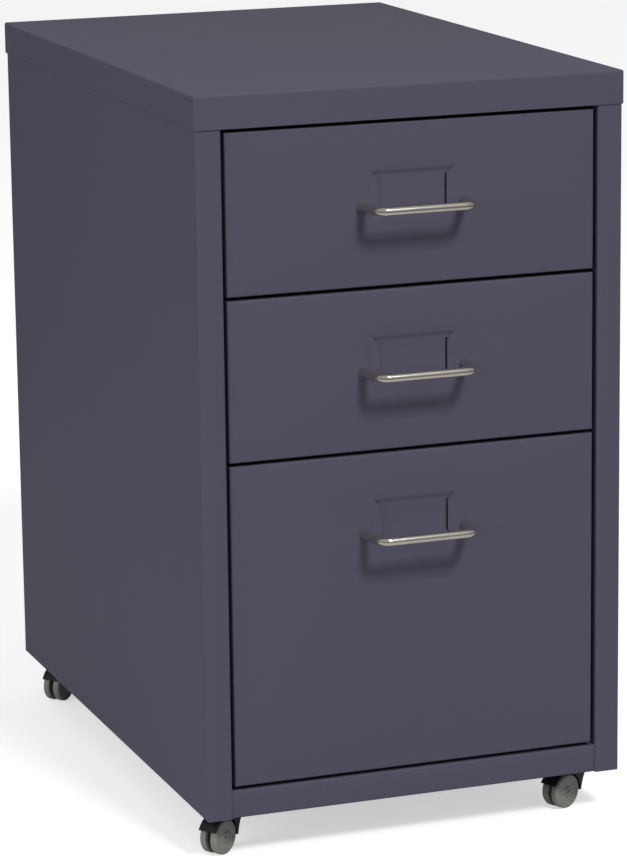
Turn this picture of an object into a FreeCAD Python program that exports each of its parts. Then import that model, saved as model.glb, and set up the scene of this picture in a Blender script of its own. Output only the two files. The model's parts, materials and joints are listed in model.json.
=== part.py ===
"""Rolling pedestal cabinet: a folded-steel carcass on four swivel casters, with two box drawers
and one file drawer on ball-bearing slides.

Frame: +X to the right of someone facing the drawers, +Y towards the back, +Z up, millimetres.
The origin is on the floor, under the middle of the cabinet's overall box, handles included.
Every size is a cell of the sheet "Sizes"; DERIVED holds the lengths that follow from them.
"""

import FreeCAD
import Part

import math
import os
import re

import Sketcher

DOC = FreeCAD.newDocument("PedestalCabinet")
SIZES = DOC.addObject("Spreadsheet::Sheet", "Sizes")

DRIVING = {
    # overall
    "width": 400.0,
    "depth": 592.0,
    "height": 687.0,
    # sheet metal
    "sheet": 0.8,
    "heavy_sheet": 1.2,
    "bend_radius": 1.2,
    "cover_lip": 30.0,
    "cover_clearance": 0.4,
    "cover_rear_clearance": 2.2,
    "post_width": 23.0,
    "post_return": 14.0,
    "rear_return": 18.0,
    "bottom_flange": 8.0,
    "pan_lip": 10.0,
    "rail_height": 25.5,
    "top_rail_drop": 26.0,
    "top_rail_return": 20.0,
    "upright_width": 30.0,
    "upright_inset": 10.0,
    "upright_lift": 9.0,
    # drawer fronts
    "front_recess": 2.0,
    "front_gap": 3.5,
    "box_front_height": 143.0,
    "front_depth": 16.0,
    "front_flange": 14.0,
    # label holder
    "label_drop": 40.5,
    "label_width": 80.0,
    "label_height": 43.0,
    "label_depth": 1.6,
    "label_flap": 8.0,
    # pull
    "pull_spacing": 96.0,
    "pull_reach": 33.0,
    "pull_inset": 5.0,
    "pull_bend": 9.0,
    "pull_diameter": 8.0,
    "pull_drop": 72.0,
    # trays
    "tray_lift": 14.0,
    "box_tray_drop": 24.0,
    "file_tray_drop": 30.0,
    "tray_rear_clearance": 48.0,
    "hem_height": 8.0,
    "access_hole_diameter": 12.0,
    # ball-bearing slides
    "slide_rear_clearance": 66.2,
    "slide_thickness": 12.7,
    "slide_setback": 2.0,
    "post_clearance": 0.3,
    "race_gap": 3.2,
    "race_lip": 1.0,
    "race_flange": 11.0,
    "ball_diameter": 3.1,
    "cage_sheet": 0.5,
    "cage_web_gap": 0.5,
    "cage_short_of_ball": 0.1,
    "ball_pocket_clearance": 0.06,
    "outer_ball_setback": 4.0,
    "box_race_reach": 2.0,
    "file_middle_reach": 1.6,
    "file_inner_reach": 3.8,
    "inner_cage_web_gap": 0.25,
    "inner_ball_setback": 3.0,
    "box_slide_height": 35.0,
    "box_slide_lift": 40.0,
    "box_cage_length": 108.0,
    "file_slide_height": 45.7,
    "file_slide_lift": 90.0,
    "file_cage_length": 200.0,
    # fasteners
    "screw_diameter": 4.0,
    "screw_head_diameter": 7.4,
    "screw_head_height": 2.4,
    "screw_head_edge": 1.2,
    "screw_recess_depth": 1.1,
    "screw_recess_width": 1.0,
    "screw_length": 7.0,
    "screw_clearance": 0.15,
    "screw_end_gap": 0.3,
    "panel_screw_length": 6.0,
    "panel_screw_inset": 30.0,
    # casters
    "caster_inset": 30.3,
    "caster_setback": 41.0,
    "trail": 13.0,
    "wheel_diameter": 32.0,
    "wheel_width": 6.8,
    "wheel_crown": 2.0,
    "wheel_rim": 4.0,
    "wheel_hub": 2.6,
    "wheel_disc": 2.4,
    "web_thickness": 4.0,
    "web_drop": 6.0,
    "wheel_clearance": 0.4,
    "axle_diameter": 4.0,
    "axle_recess": 1.5,
    "running_clearance": 0.05,
    "plate_size": 42.0,
    "plate_thickness": 2.0,
    "plate_hole_spacing": 33.0,
    "kingpin_diameter": 8.0,
    "kingpin_length": 11.0,
    "kingpin_ring": 0.8,
    "kingpin_ring_drop": 6.6,
    "kingpin_ring_height": 1.5,
    "swivel_diameter": 38.0,
    "swivel_height": 13.2,
    "swivel_gap": 0.5,
    "hood_gap": 1.3,
    "hood_thickness": 2.0,
    "hood_end": 24.5,
    "nose_end": 13.5,
    "nose_overlap": 1.5,
    # how the four casters stand: the turn of each trail about its kingpin, from +X
    "turn_front_left": 216.0,
    "turn_front_right": 205.0,
    "turn_rear_left": 222.0,
    "turn_rear_right": 250.0,
}

DERIVED = {
    # casters, from the floor up: the cabinet stands as high as their wheels make it
    "wheel_radius": "wheel_diameter / 2",
    "wheel_inner": "web_thickness / 2 + wheel_clearance",
    "wheel_outer": "wheel_inner + wheel_width",
    "hood_inner": "wheel_radius + hood_gap",
    "hood_outer": "hood_inner + hood_thickness",
    "swivel_bottom": "wheel_radius + hood_outer",
    "swivel_top": "swivel_bottom + swivel_height",
    "plate_bottom": "swivel_top + swivel_gap",
    "pan_bottom": "plate_bottom + plate_thickness",
    "pan_top": "pan_bottom + sheet",
    "body_bottom": "pan_bottom - pan_lip",
    # the pull stands in front of the cover, so the box's middle lies in front of the cover's
    "pull_overhang": "pull_reach + pull_diameter / 2 - sheet - cover_clearance - front_recess",
    "cover_front": "(pull_overhang - depth) / 2",
    "cover_back": "cover_front + depth",
    "cover_bottom": "height - cover_lip",
    "body_half": "width / 2 - sheet - cover_clearance",
    "body_front": "cover_front + sheet + cover_clearance",
    "body_back": "cover_back - sheet - cover_rear_clearance",
    "body_top": "height - sheet",
    "opening_half": "body_half - post_width",
    "post_back": "body_front + post_return",
    "back_inside": "body_back - 2 * sheet",
    "face": "body_front + front_recess",
    "rail_top": "body_bottom + rail_height",
    # drawer fronts, from the top down: the file drawer takes what height is left
    "front_half": "opening_half - front_gap",
    "front_back": "face + front_depth",
    "top_1": "cover_bottom - front_gap",
    "bottom_1": "top_1 - box_front_height",
    "top_2": "bottom_1 - front_gap",
    "bottom_2": "top_2 - box_front_height",
    "top_3": "bottom_2 - front_gap",
    "bottom_3": "rail_top + front_gap",
    # slides and trays
    "slide_plane": "opening_half - post_clearance",
    "tray_half": "slide_plane - slide_thickness",
    "tray_back": "back_inside - tray_rear_clearance",
    "slide_front": "front_back + slide_setback",
    "slide_back": "back_inside - slide_rear_clearance",
    "slide_length": "slide_back - slide_front",
    "caster_x": "body_half - caster_inset",
    "caster_front": "body_front + caster_setback",
    "caster_rear": "body_back - caster_setback",
}

PANEL_SCREW_ROWS = 5
BOX_CAGE_BALLS = 4      # in each flange of a ball cage
FILE_CAGE_BALLS = 6
DRAWERS = (1, 2, 3)
FILE_DRAWER = 3
SIDES = {"left": -1, "right": 1}
PARTS = []


# ---------------------------------------------------------------- sheet and formulas
def fill_sheet():
    """One row for each driving size: its name, and its value under that alias."""
    for row, (alias, number) in enumerate(DRIVING.items(), start=1):
        SIZES.set(f"A{row}", alias)
        SIZES.set(f"B{row}", str(number))
        SIZES.setAlias(f"B{row}", alias)
    DOC.recompute()


def formula(text):
    """A formula in size names, as a FreeCAD expression on the sheet's cells."""

    def cell(match):
        name = match.group(0)
        if name in DERIVED:
            return "(" + formula(DERIVED[name]) + ")"
        if name in DRIVING:
            return "Sizes." + name
        raise KeyError(f"no size is named {name}")

    return re.sub(r"[a-z_][a-z_0-9]*", cell, str(text))


def value(text):
    """What a formula comes to, as a number."""
    result = SIZES.evalExpression(formula(text))
    return float(getattr(result, "Value", result))


# ---------------------------------------------------------------- feature helpers
def new_body(label):
    """A body that becomes the node of that name."""
    body = DOC.addObject("PartDesign::Body", label)
    body.Label = label
    PARTS.append(body)
    return body


def origin_plane(body, role):
    return next(f for f in body.Origin.OriginFeatures if f.Role == role)


def new_sketch(body, role, lift="0"):
    """A sketch on one of the body's own planes, lifted along that plane's normal."""
    sketch = body.newObject("Sketcher::SketchObject", body.Label + "_sketch")
    sketch.AttachmentSupport = [(origin_plane(body, role), "")]
    sketch.MapMode = "FlatFace"
    sketch.setExpression("AttachmentOffset.Base.z", formula(lift))
    return sketch


def pin_point(sketch, edge, end, across, up):
    """Ties one point of a sketch to two formulas, measured from the sketch's origin."""
    for kind, text in (("DistanceX", across), ("DistanceY", up)):
        index = sketch.addConstraint(
            Sketcher.Constraint(kind, -1, 1, edge, end, value(text))
        )
        sketch.setExpression(f"Constraints[{index}]", formula(text))


def outline(sketch, points):
    """A closed outline through points, each a pair of formulas."""
    first = sketch.GeometryCount
    spots = [FreeCAD.Vector(value(a), value(b), 0) for a, b in points]
    count = len(spots)
    for i in range(count):
        sketch.addGeometry(Part.LineSegment(spots[i], spots[(i + 1) % count]), False)
    for i in range(count):
        follower = first + (i + 1) % count
        sketch.addConstraint(
            Sketcher.Constraint("Coincident", first + i, 2, follower, 1)
        )
    for i, (across, up) in enumerate(points):
        pin_point(sketch, first + i, 1, across, up)


def ring(sketch, across, up, radius):
    """A circle whose centre and radius are formulas."""
    middle = FreeCAD.Vector(value(across), value(up), 0)
    axis = FreeCAD.Vector(0, 0, 1)
    edge = sketch.addGeometry(Part.Circle(middle, axis, value(radius)), False)
    pin_point(sketch, edge, 3, across, up)
    index = sketch.addConstraint(Sketcher.Constraint("Radius", edge, value(radius)))
    sketch.setExpression(f"Constraints[{index}]", formula(radius))


def rectangle(x0, x1, y0, y1):
    return [(x0, y0), (x1, y0), (x1, y1), (x0, y1)]


def extrude(body, kind, sketch, length, along):
    """A Pad or Pocket of that length. along is 1 for the sketch's normal and -1 against it."""
    feature = body.newObject("PartDesign::" + kind, f"{body.Label}_{kind}")
    feature.Profile = sketch
    feature.setExpression("Length", formula(length))
    natural = 1 if kind == "Pad" else -1
    feature.Reversed = along != natural
    before = body.Shape.Volume if kind == "Pocket" else 0
    DOC.recompute()
    if kind == "Pocket" and not feature.Shape.Volume < before - 1e-6:
        raise RuntimeError(f"a pocket of {body.Label} cuts nothing")
    return feature


def bend(body, radius, keep):
    """Rounds the edges of a body whose bounding boxes keep picks out."""
    base = body.Tip
    edges = enumerate(base.Shape.Edges, start=1)
    names = [f"Edge{i}" for i, edge in edges if keep(edge.BoundBox)]
    if not names:
        raise RuntimeError(f"{body.Label} has no such edge")
    fillet = body.newObject("PartDesign::Fillet", body.Label + "_bend")
    fillet.Base = (base, names)
    fillet.setExpression("Radius", formula(radius))
    DOC.recompute()


def close(a, b):
    return abs(a - b) < 1e-4


def upright_edges(spots):
    """Picks the edges that stand along Z at the given (x, y) formulas."""
    places = [(value(x), value(y)) for x, y in spots]

    def keep(box):
        standing = close(box.XLength, 0) and close(box.YLength, 0)
        return standing and any(close(box.XMin, x) and close(box.YMin, y) for x, y in places)

    return keep


def flat(body, kind, points, z0, z1):
    """Adds or cuts a plan outline between two heights."""
    sketch = new_sketch(body, "XY_Plane", z0)
    outline(sketch, points)
    return extrude(body, kind, sketch, f"({z1}) - ({z0})", 1)


def facing(body, kind, points, y0, y1):
    """Adds or cuts an outline of (x, z) points from y0 back to y1."""
    sketch = new_sketch(body, "XZ_Plane", f"-({y0})")
    outline(sketch, points)
    return extrude(body, kind, sketch, f"({y1}) - ({y0})", -1)


def facing_holes(body, spots, radius, y0, y1):
    """Cuts round holes along Y at (x, z) spots."""
    sketch = new_sketch(body, "XZ_Plane", f"-({y0})")
    for across, up in spots:
        ring(sketch, across, up, radius)
    return extrude(body, "Pocket", sketch, f"({y1}) - ({y0})", -1)


def flat_holes(body, spots, radius, z0, z1):
    """Cuts round holes along Z at (x, y) spots."""
    sketch = new_sketch(body, "XY_Plane", z0)
    for across, up in spots:
        ring(sketch, across, up, radius)
    return extrude(body, "Pocket", sketch, f"({z1}) - ({z0})", 1)


def sideways(body, kind, points, x0, x1):
    """Adds or cuts an outline of (y, z) points from x0 to x1."""
    sketch = new_sketch(body, "YZ_Plane", x0)
    outline(sketch, points)
    return extrude(body, kind, sketch, f"({x1}) - ({x0})", 1)


def solids(label, shapes):
    """A node made of separate solids, such as a set of screws."""
    feature = DOC.addObject("Part::Feature", label)
    feature.Label = label
    feature.Shape = Part.makeCompound(shapes)
    PARTS.append(feature)
    return feature


# ---------------------------------------------------------------- carcass
def panel_screw_spots():
    """(x, z) of the screws that hold the back panel: a row down each return, below the lip."""
    across = "body_half - rear_return / 2"
    low, high = "body_bottom + panel_screw_inset", "cover_bottom - panel_screw_inset"
    spots = []
    for i in range(PANEL_SCREW_ROWS):
        up = f"({low}) + {i} / {PANEL_SCREW_ROWS - 1} * ({high} - ({low}))"
        spots += [(f"-({across})", up), (across, up)]
    return spots


def side_panel(name, side):
    """One side, with its front post folded in and back, a rear return and a bottom flange."""
    body = new_body(f"{name}_side_panel")
    inner = f"{side} * (body_half - sheet)"
    outer = f"{side} * body_half"
    post = f"{side} * opening_half"
    post_inner = f"{side} * (opening_half + sheet)"
    rear = f"{side} * (body_half - rear_return)"
    section = [
        (post, "body_front"),
        (outer, "body_front"),
        (outer, "body_back"),
        (rear, "body_back"),
        (rear, "body_back - sheet"),
        (inner, "body_back - sheet"),
        (inner, "body_front + sheet"),
        (post_inner, "body_front + sheet"),
        (post_inner, "post_back"),
        (post, "post_back"),
    ]
    flat(body, "Pad", section, "body_bottom", "body_top")
    bends = [(post, "body_front"), (outer, "body_front"), (outer, "body_back")]
    bend(body, "bend_radius", upright_edges(bends))
    flange = f"{side} * (body_half - bottom_flange)"
    flat(
        body,
        "Pad",
        rectangle(flange, outer, "post_back", "back_inside"),
        "body_bottom",
        "body_bottom + sheet",
    )
    spots = [s for s in panel_screw_spots() if s[0].startswith("-") == (side < 0)]
    facing_holes(
        body,
        spots,
        "screw_diameter / 2 + screw_clearance",
        "body_back - sheet",
        "body_back",
    )


def back_panel():
    """A flat sheet behind the drawers, screwed to the sides' rear returns."""
    body = new_body("back_panel")
    half = "body_half - sheet"
    facing(
        body,
        "Pad",
        rectangle(f"-({half})", half, "body_bottom", "body_top"),
        "back_inside",
        "body_back - sheet",
    )
    facing_holes(
        body,
        panel_screw_spots(),
        "screw_diameter / 2",
        "back_inside",
        "body_back - sheet",
    )


def top_cover():
    """A shallow pan turned over, whose lips lap the carcass on all four sides."""
    body = new_body("top_cover")
    half = "width / 2"
    flat(
        body,
        "Pad",
        rectangle(f"-({half})", half, "cover_front", "cover_back"),
        "cover_bottom",
        "height",
    )
    low = value("cover_bottom")
    bend(body, "bend_radius", lambda box: not close(box.ZMax, low))
    inner = "width / 2 - sheet"
    flat(
        body,
        "Pocket",
        rectangle(f"-({inner})", inner, "cover_front + sheet", "cover_back - sheet"),
        "cover_bottom",
        "height - sheet",
    )


def caster_spots():
    """Name, kingpin position and turn of each caster."""
    return [
        ("front_left", "-(caster_x)", "caster_front", "turn_front_left"),
        ("front_right", "caster_x", "caster_front", "turn_front_right"),
        ("rear_left", "-(caster_x)", "caster_rear", "turn_rear_left"),
        ("rear_right", "caster_x", "caster_rear", "turn_rear_right"),
    ]


def plate_hole_spots(x, y):
    """The four holes of a caster's plate whose kingpin is at x, y."""
    step = "plate_hole_spacing / 2"
    return [
        (f"({x}) {a} {step}", f"({y}) {b} {step}")
        for a, b in (("-", "-"), ("+", "-"), ("+", "+"), ("-", "+"))
    ]


def base_pan():
    """The floor of the carcass: a pan turned over on the sides' bottom flanges."""
    body = new_body("base_pan")
    half = "body_half - sheet"
    low = "body_bottom + sheet"
    flat(
        body,
        "Pad",
        rectangle(f"-({half})", half, "post_back", "back_inside"),
        low,
        "pan_top",
    )
    inner = "body_half - 2 * sheet"
    flat(
        body,
        "Pocket",
        rectangle(f"-({inner})", inner, "post_back + sheet", "back_inside - sheet"),
        low,
        "pan_bottom",
    )
    spots = [s for _, x, y, _ in caster_spots() for s in plate_hole_spots(x, y)]
    flat_holes(body, spots, "screw_diameter / 2", "pan_bottom", "pan_top")


def front_bottom_rail():
    """The channel under the lowest drawer, between the two posts."""
    body = new_body("front_bottom_rail")
    section = [
        ("face", "body_bottom"),
        ("post_back", "body_bottom"),
        ("post_back", "body_bottom + sheet"),
        ("face + sheet", "body_bottom + sheet"),
        ("face + sheet", "rail_top - sheet"),
        ("post_back", "rail_top - sheet"),
        ("post_back", "rail_top"),
        ("face", "rail_top"),
    ]
    sideways(body, "Pad", section, "-(opening_half)", "opening_half")


def top_front_rail():
    """The angle between the posts that carries the cover's front edge."""
    body = new_body("top_front_rail")
    section = [
        ("face", "body_top - top_rail_drop"),
        ("face + sheet", "body_top - top_rail_drop"),
        ("face + sheet", "body_top - sheet"),
        ("face + top_rail_return", "body_top - sheet"),
        ("face + top_rail_return", "body_top"),
        ("face", "body_top"),
    ]
    sideways(body, "Pad", section, "-(opening_half)", "opening_half")


def upright(name, side, place, start):
    """A channel on the side's inner face, clear of the caster screws, that carries slides."""
    body = new_body(f"{name}_{place}_upright")
    web = f"{side} * slide_plane"
    web_back = f"{side} * (slide_plane + heavy_sheet)"
    wall = f"{side} * (body_half - sheet)"
    end = f"{start} + upright_width"
    section = [
        (wall, start),
        (web, start),
        (web, end),
        (wall, end),
        (wall, f"{end} - heavy_sheet"),
        (web_back, f"{end} - heavy_sheet"),
        (web_back, f"{start} + heavy_sheet"),
        (wall, f"{start} + heavy_sheet"),
    ]
    flat(body, "Pad", section, "pan_top + upright_lift", "body_top")


def screw(head_at, into, length):
    """A pan-head screw with a cross recess: its head sits on head_at, its shank runs into."""
    head_radius = value("screw_head_diameter / 2")
    head_height = value("screw_head_height")
    shank = Part.makeCylinder(value("screw_diameter / 2"), length, head_at, into)
    out = into * -1
    head = Part.makeCylinder(head_radius, head_height, head_at, out)
    top = head_at + out * head_height
    rim = [e for e in head.Edges if e.Closed and close((e.CenterOfMass - top).Length, 0)]
    head = head.makeFillet(value("screw_head_height - screw_head_edge"), rim)
    made = shank.fuse(head).removeSplitter()
    depth, width = value("screw_recess_depth"), value("screw_recess_width")
    turn = FreeCAD.Rotation(FreeCAD.Vector(0, 0, 1), out)
    for across, along in ((head_radius, width), (width, head_radius)):
        corner = FreeCAD.Vector(-across / 2, -along / 2, head_height - depth)
        bar = Part.makeBox(across, along, head_height, corner)
        bar.Placement = FreeCAD.Placement(head_at, turn)
        made = made.cut(bar)
    return made


def carcass_screws():
    """The ten screws through the rear returns into the back panel."""
    forward = FreeCAD.Vector(0, -1, 0)
    made = [
        screw(
            FreeCAD.Vector(value(x), value("body_back"), value(z)),
            forward,
            value("panel_screw_length"),
        )
        for x, z in panel_screw_spots()
    ]
    solids("carcass_screws", made)


# ---------------------------------------------------------------- drawers
def pull_spots(n):
    """(x, z) of the two feet of a drawer's pull."""
    up = f"top_{n} - pull_drop"
    return [("-(pull_spacing / 2)", up), ("pull_spacing / 2", up)]


def drawer_front(n):
    """A pan that closes the opening, with a pressed label holder and two pull holes."""
    body = new_body(f"drawer_{n}_front")
    low, high, half = f"bottom_{n}", f"top_{n}", "front_half"
    inner = "front_half - sheet"
    facing(
        body,
        "Pad",
        rectangle(f"-({half})", half, low, high),
        "face",
        "front_back",
    )
    face = value("face")
    bend(body, "bend_radius", lambda box: close(box.YMax, face))
    facing(
        body,
        "Pocket",
        rectangle(f"-({inner})", inner, f"{low} + sheet", f"{high} - sheet"),
        "face + sheet",
        "front_back - sheet",
    )
    mouth = "front_half - front_flange"
    facing(
        body,
        "Pocket",
        rectangle(
            f"-({mouth})", mouth, f"{low} + front_flange", f"{high} - front_flange"
        ),
        "front_back - sheet",
        "front_back",
    )
    # the label field: a shallow dish behind the face, reached between two flaps
    top = f"{high} - label_drop"
    bottom = f"{high} - label_drop - label_height"
    wide = "label_width / 2"
    narrow = "label_width / 2 - label_flap"
    facing(
        body,
        "Pad",
        rectangle(
            f"-({wide} + sheet)", f"{wide} + sheet", f"{bottom} - sheet", f"{top} + sheet"
        ),
        "face + sheet",
        "face + label_depth + sheet",
    )
    facing(
        body,
        "Pocket",
        rectangle(f"-({wide})", wide, bottom, top),
        "face + sheet",
        "face + label_depth",
    )
    window = [
        (f"-({wide})", top),
        (f"-({narrow})", f"{top} - label_flap"),
        (f"-({narrow})", f"{bottom} + label_flap"),
        (f"-({wide})", bottom),
        (wide, bottom),
        (narrow, f"{bottom} + label_flap"),
        (narrow, f"{top} - label_flap"),
        (wide, top),
    ]
    facing(body, "Pocket", window, "face", "face + sheet")
    facing_holes(
        body,
        pull_spots(n),
        "screw_diameter / 2 + screw_clearance",
        "face",
        "face + sheet",
    )


def bent_path(corners, radius):
    """Straight runs through the corners, joined by tangent arcs of one radius."""
    edges, start = [], corners[0]
    for before, corner, after in zip(corners, corners[1:], corners[2:]):
        back = (before - corner).normalize()
        ahead = (after - corner).normalize()
        turn = math.pi - back.getAngle(ahead)
        run = radius * math.tan(turn / 2)
        enter, leave = corner + back * run, corner + ahead * run
        inward = (back + ahead).normalize()
        middle = corner + inward * (radius / math.cos(turn / 2) - radius)
        edges.append(Part.LineSegment(start, enter).toShape())
        edges.append(Part.Arc(enter, middle, leave).toShape())
        start = leave
    edges.append(Part.LineSegment(start, corners[-1]).toShape())
    return Part.Wire(edges)


def drawer_pull(n):
    """A round bow pull: two feet that lean in, two bends and a straight bar."""
    foot_x = value("pull_spacing") / 2
    bar_x = foot_x - value("pull_inset")
    face, up = value("face"), value(f"top_{n} - pull_drop")
    bar_y = face - value("pull_reach")
    radius = value("pull_diameter") / 2
    lean = (foot_x - bar_x) / (face - bar_y)
    sunk = radius
    start_x = foot_x + lean * sunk
    corners = [
        FreeCAD.Vector(-start_x, face + sunk, up),
        FreeCAD.Vector(-bar_x, bar_y, up),
        FreeCAD.Vector(bar_x, bar_y, up),
        FreeCAD.Vector(start_x, face + sunk, up),
    ]
    path = bent_path(corners, value("pull_bend"))
    heading = corners[1] - corners[0]
    section = Part.Wire(Part.makeCircle(radius, corners[0], heading))
    bow = path.makePipeShell([section], True, True)
    behind = Part.makeBox(
        4 * foot_x, 2 * sunk, 4 * radius, FreeCAD.Vector(-2 * foot_x, face, up - 2 * radius)
    )
    bow = bow.cut(behind)
    for side in (-1, 1):
        hole = Part.makeCylinder(
            value("screw_diameter") / 2,
            value("screw_length"),
            FreeCAD.Vector(side * foot_x, face, up),
            FreeCAD.Vector(0, -1, 0),
        )
        bow = bow.cut(hole)
    solids(f"drawer_{n}_pull", [bow])


def drawer_pull_screws(n):
    """The two screws that hold a pull from inside the front."""
    head_at = value("face + sheet")
    length = value("screw_length + sheet - screw_end_gap")
    made = [
        screw(
            FreeCAD.Vector(value(x), head_at, value(z)),
            FreeCAD.Vector(0, -1, 0),
            length,
        )
        for x, z in pull_spots(n)
    ]
    solids(f"drawer_{n}_pull_screws", made)


def tray_drop(n):
    return "file_tray_drop" if n == FILE_DRAWER else "box_tray_drop"


def drawer_tray(n):
    """An open tray of folded sheet with hemmed sides, welded to the back of its front."""
    body = new_body(f"drawer_{n}_tray")
    low = f"bottom_{n} + tray_lift"
    high = f"top_{n} - {tray_drop(n)}"
    half, inner, back = "tray_half", "tray_half - sheet", "tray_back"
    flat(
        body,
        "Pad",
        rectangle(f"-({half})", half, "front_back", back),
        low,
        high,
    )
    flat(
        body,
        "Pocket",
        rectangle(f"-({inner})", inner, "front_back + sheet", f"{back} - sheet"),
        f"{low} + sheet",
        high,
    )
    hem = "tray_half - 2 * sheet"
    for side in SIDES.values():
        flat(
            body,
            "Pad",
            rectangle(
                f"{side} * ({inner})",
                f"{side} * ({hem})",
                "front_back + sheet",
                f"{back} - sheet",
            ),
            f"{high} - hem_height",
            high,
        )
    for across, up in pull_spots(n):
        facing_holes(
            body,
            [(across, up)],
            "access_hole_diameter / 2",
            "front_back",
            "front_back + sheet",
        )


# ---------------------------------------------------------------- slides
def slide_height(n):
    return "file_slide_height" if n == FILE_DRAWER else "box_slide_height"


def slide_middle(n):
    """The height of a slide's axis."""
    lift = "file_slide_lift" if n == FILE_DRAWER else "box_slide_lift"
    return f"bottom_{n} + tray_lift + {lift}"


def rail(label, n, side, half_section):
    """A slide member: half a section of (inward, up) pairs, mirrored about the slide's axis."""
    body = new_body(label)
    middle = slide_middle(n)
    lower = [(f"{side} * (slide_plane - ({u}))", f"{middle} - ({w})") for u, w in half_section]
    upper = [(f"{side} * (slide_plane - ({u}))", f"{middle} + ({w})") for u, w in half_section]
    facing(
        body,
        "Pad",
        lower + upper[::-1],
        "slide_front",
        "slide_back",
    )


def outer_section(half):
    """The channel fixed to the uprights, its flanges lipped over the balls."""
    inside = f"{half} - heavy_sheet"
    return [
        ("0", half),
        ("race_flange", half),
        ("race_flange", f"{inside} - race_lip"),
        ("race_flange - heavy_sheet", f"{inside} - race_lip"),
        ("race_flange - heavy_sheet", inside),
        ("heavy_sheet", inside),
    ]


def inner_section(half, reach):
    """The channel fixed to the tray, facing the outer one; reach is where its flanges end."""
    return [
        ("slide_thickness", half),
        (f"{reach} + heavy_sheet", half),
        (f"{reach} + heavy_sheet", f"{half} + race_lip"),
        (reach, f"{half} + race_lip"),
        (reach, f"{half} - heavy_sheet"),
        ("slide_thickness - heavy_sheet", f"{half} - heavy_sheet"),
    ]


def middle_section(half, reach):
    """The member between them, with a race on both faces of its flanges."""
    inside = f"{half} - heavy_sheet"
    return [
        (reach, f"{half} + race_lip"),
        (f"{reach} + heavy_sheet", f"{half} + race_lip"),
        (f"{reach} + heavy_sheet", half),
        ("race_flange", half),
        ("race_flange", f"{inside} - race_lip"),
        ("race_flange - heavy_sheet", f"{inside} - race_lip"),
        ("race_flange - heavy_sheet", inside),
        (f"{reach} + heavy_sheet", inside),
    ]


def ball_cage(n, side, ball_height, web_at, ball_at, length, count):
    """A bent strip with balls in both flanges; the balls are separate solids."""
    sheet = value("cage_sheet")
    plane, middle = value("slide_plane"), value(slide_middle(n))
    start = value("slide_front") + (value("slide_length") - length) / 2
    radius = value("ball_diameter") / 2
    pocket = radius + value("ball_pocket_clearance")

    def slab(u0, u1, w0, w1):
        xs = sorted((side * (plane - u0), side * (plane - u1)))
        corner = FreeCAD.Vector(xs[0], start, middle + w0)
        return Part.makeBox(xs[1] - xs[0], length, w1 - w0, corner)

    flange_end = 2 * ball_at - web_at - sheet
    flange_end = min(flange_end, ball_at + radius - value("cage_short_of_ball"))
    strip = slab(web_at, web_at + sheet, -ball_height, ball_height)
    for sign in (-1, 1):
        low = sign * ball_height - sheet / 2
        strip = strip.fuse(slab(web_at, flange_end, low, low + sheet))
    pitch = length / count
    balls = []
    for sign in (-1, 1):
        for i in range(count):
            spot = FreeCAD.Vector(
                side * (plane - ball_at),
                start + pitch * (i + 0.5),
                middle + sign * ball_height,
            )
            strip = strip.cut(Part.makeSphere(pocket, spot))
            balls.append(Part.makeSphere(radius, spot))
    return [strip.removeSplitter()] + balls


def drawer_slides(n):
    """Both slides of a drawer. The file drawer's have a middle member and full travel."""
    height = slide_height(n)
    outer_half = f"{height} / 2"
    reach = "heavy_sheet + box_race_reach"
    race = f"{outer_half} - heavy_sheet - race_gap"
    for name, side in SIDES.items():
        rail(f"drawer_{n}_slide_outer_{name}", n, side, outer_section(outer_half))
    outer_balls = value(f"{race} + race_gap / 2")
    outer_web = value("heavy_sheet + cage_web_gap")
    outer_ball_at = value("race_flange - outer_ball_setback")
    if n == FILE_DRAWER:
        inner_half = f"{race} - heavy_sheet - race_gap"
        middle_reach = "heavy_sheet + file_middle_reach"
        inner_reach = "heavy_sheet + file_inner_reach"
        for name, side in SIDES.items():
            rail(
                f"drawer_{n}_slide_middle_{name}",
                n,
                side,
                middle_section(race, middle_reach),
            )
            rail(
                f"drawer_{n}_slide_inner_{name}",
                n,
                side,
                inner_section(inner_half, inner_reach),
            )
        length = value("file_cage_length")
        outer_cages, inner_cages = [], []
        for side in SIDES.values():
            outer_cages += ball_cage(
                n, side, outer_balls, outer_web, outer_ball_at, length, FILE_CAGE_BALLS
            )
            inner_cages += ball_cage(
                n,
                side,
                value(f"{inner_half} + race_gap / 2"),
                value(f"{middle_reach} + heavy_sheet + inner_cage_web_gap"),
                value("race_flange - inner_ball_setback"),
                length,
                FILE_CAGE_BALLS,
            )
        solids(f"drawer_{n}_outer_ball_cages", outer_cages)
        solids(f"drawer_{n}_inner_ball_cages", inner_cages)
        return
    for name, side in SIDES.items():
        rail(f"drawer_{n}_slide_inner_{name}", n, side, inner_section(race, reach))
    cages = []
    for side in SIDES.values():
        cages += ball_cage(
            n,
            side,
            outer_balls,
            outer_web,
            outer_ball_at,
            value("box_cage_length"),
            BOX_CAGE_BALLS,
        )
    solids(f"drawer_{n}_ball_cages", cages)


# ---------------------------------------------------------------- casters
def place(body, x, y, turn):
    """Puts a caster piece, modelled about its kingpin with the trail along +X, in its corner."""
    body.setExpression("Placement.Base.x", formula(x))
    body.setExpression("Placement.Base.y", formula(y))
    body.setExpression("Placement.Rotation.Angle", formula(turn))


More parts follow.
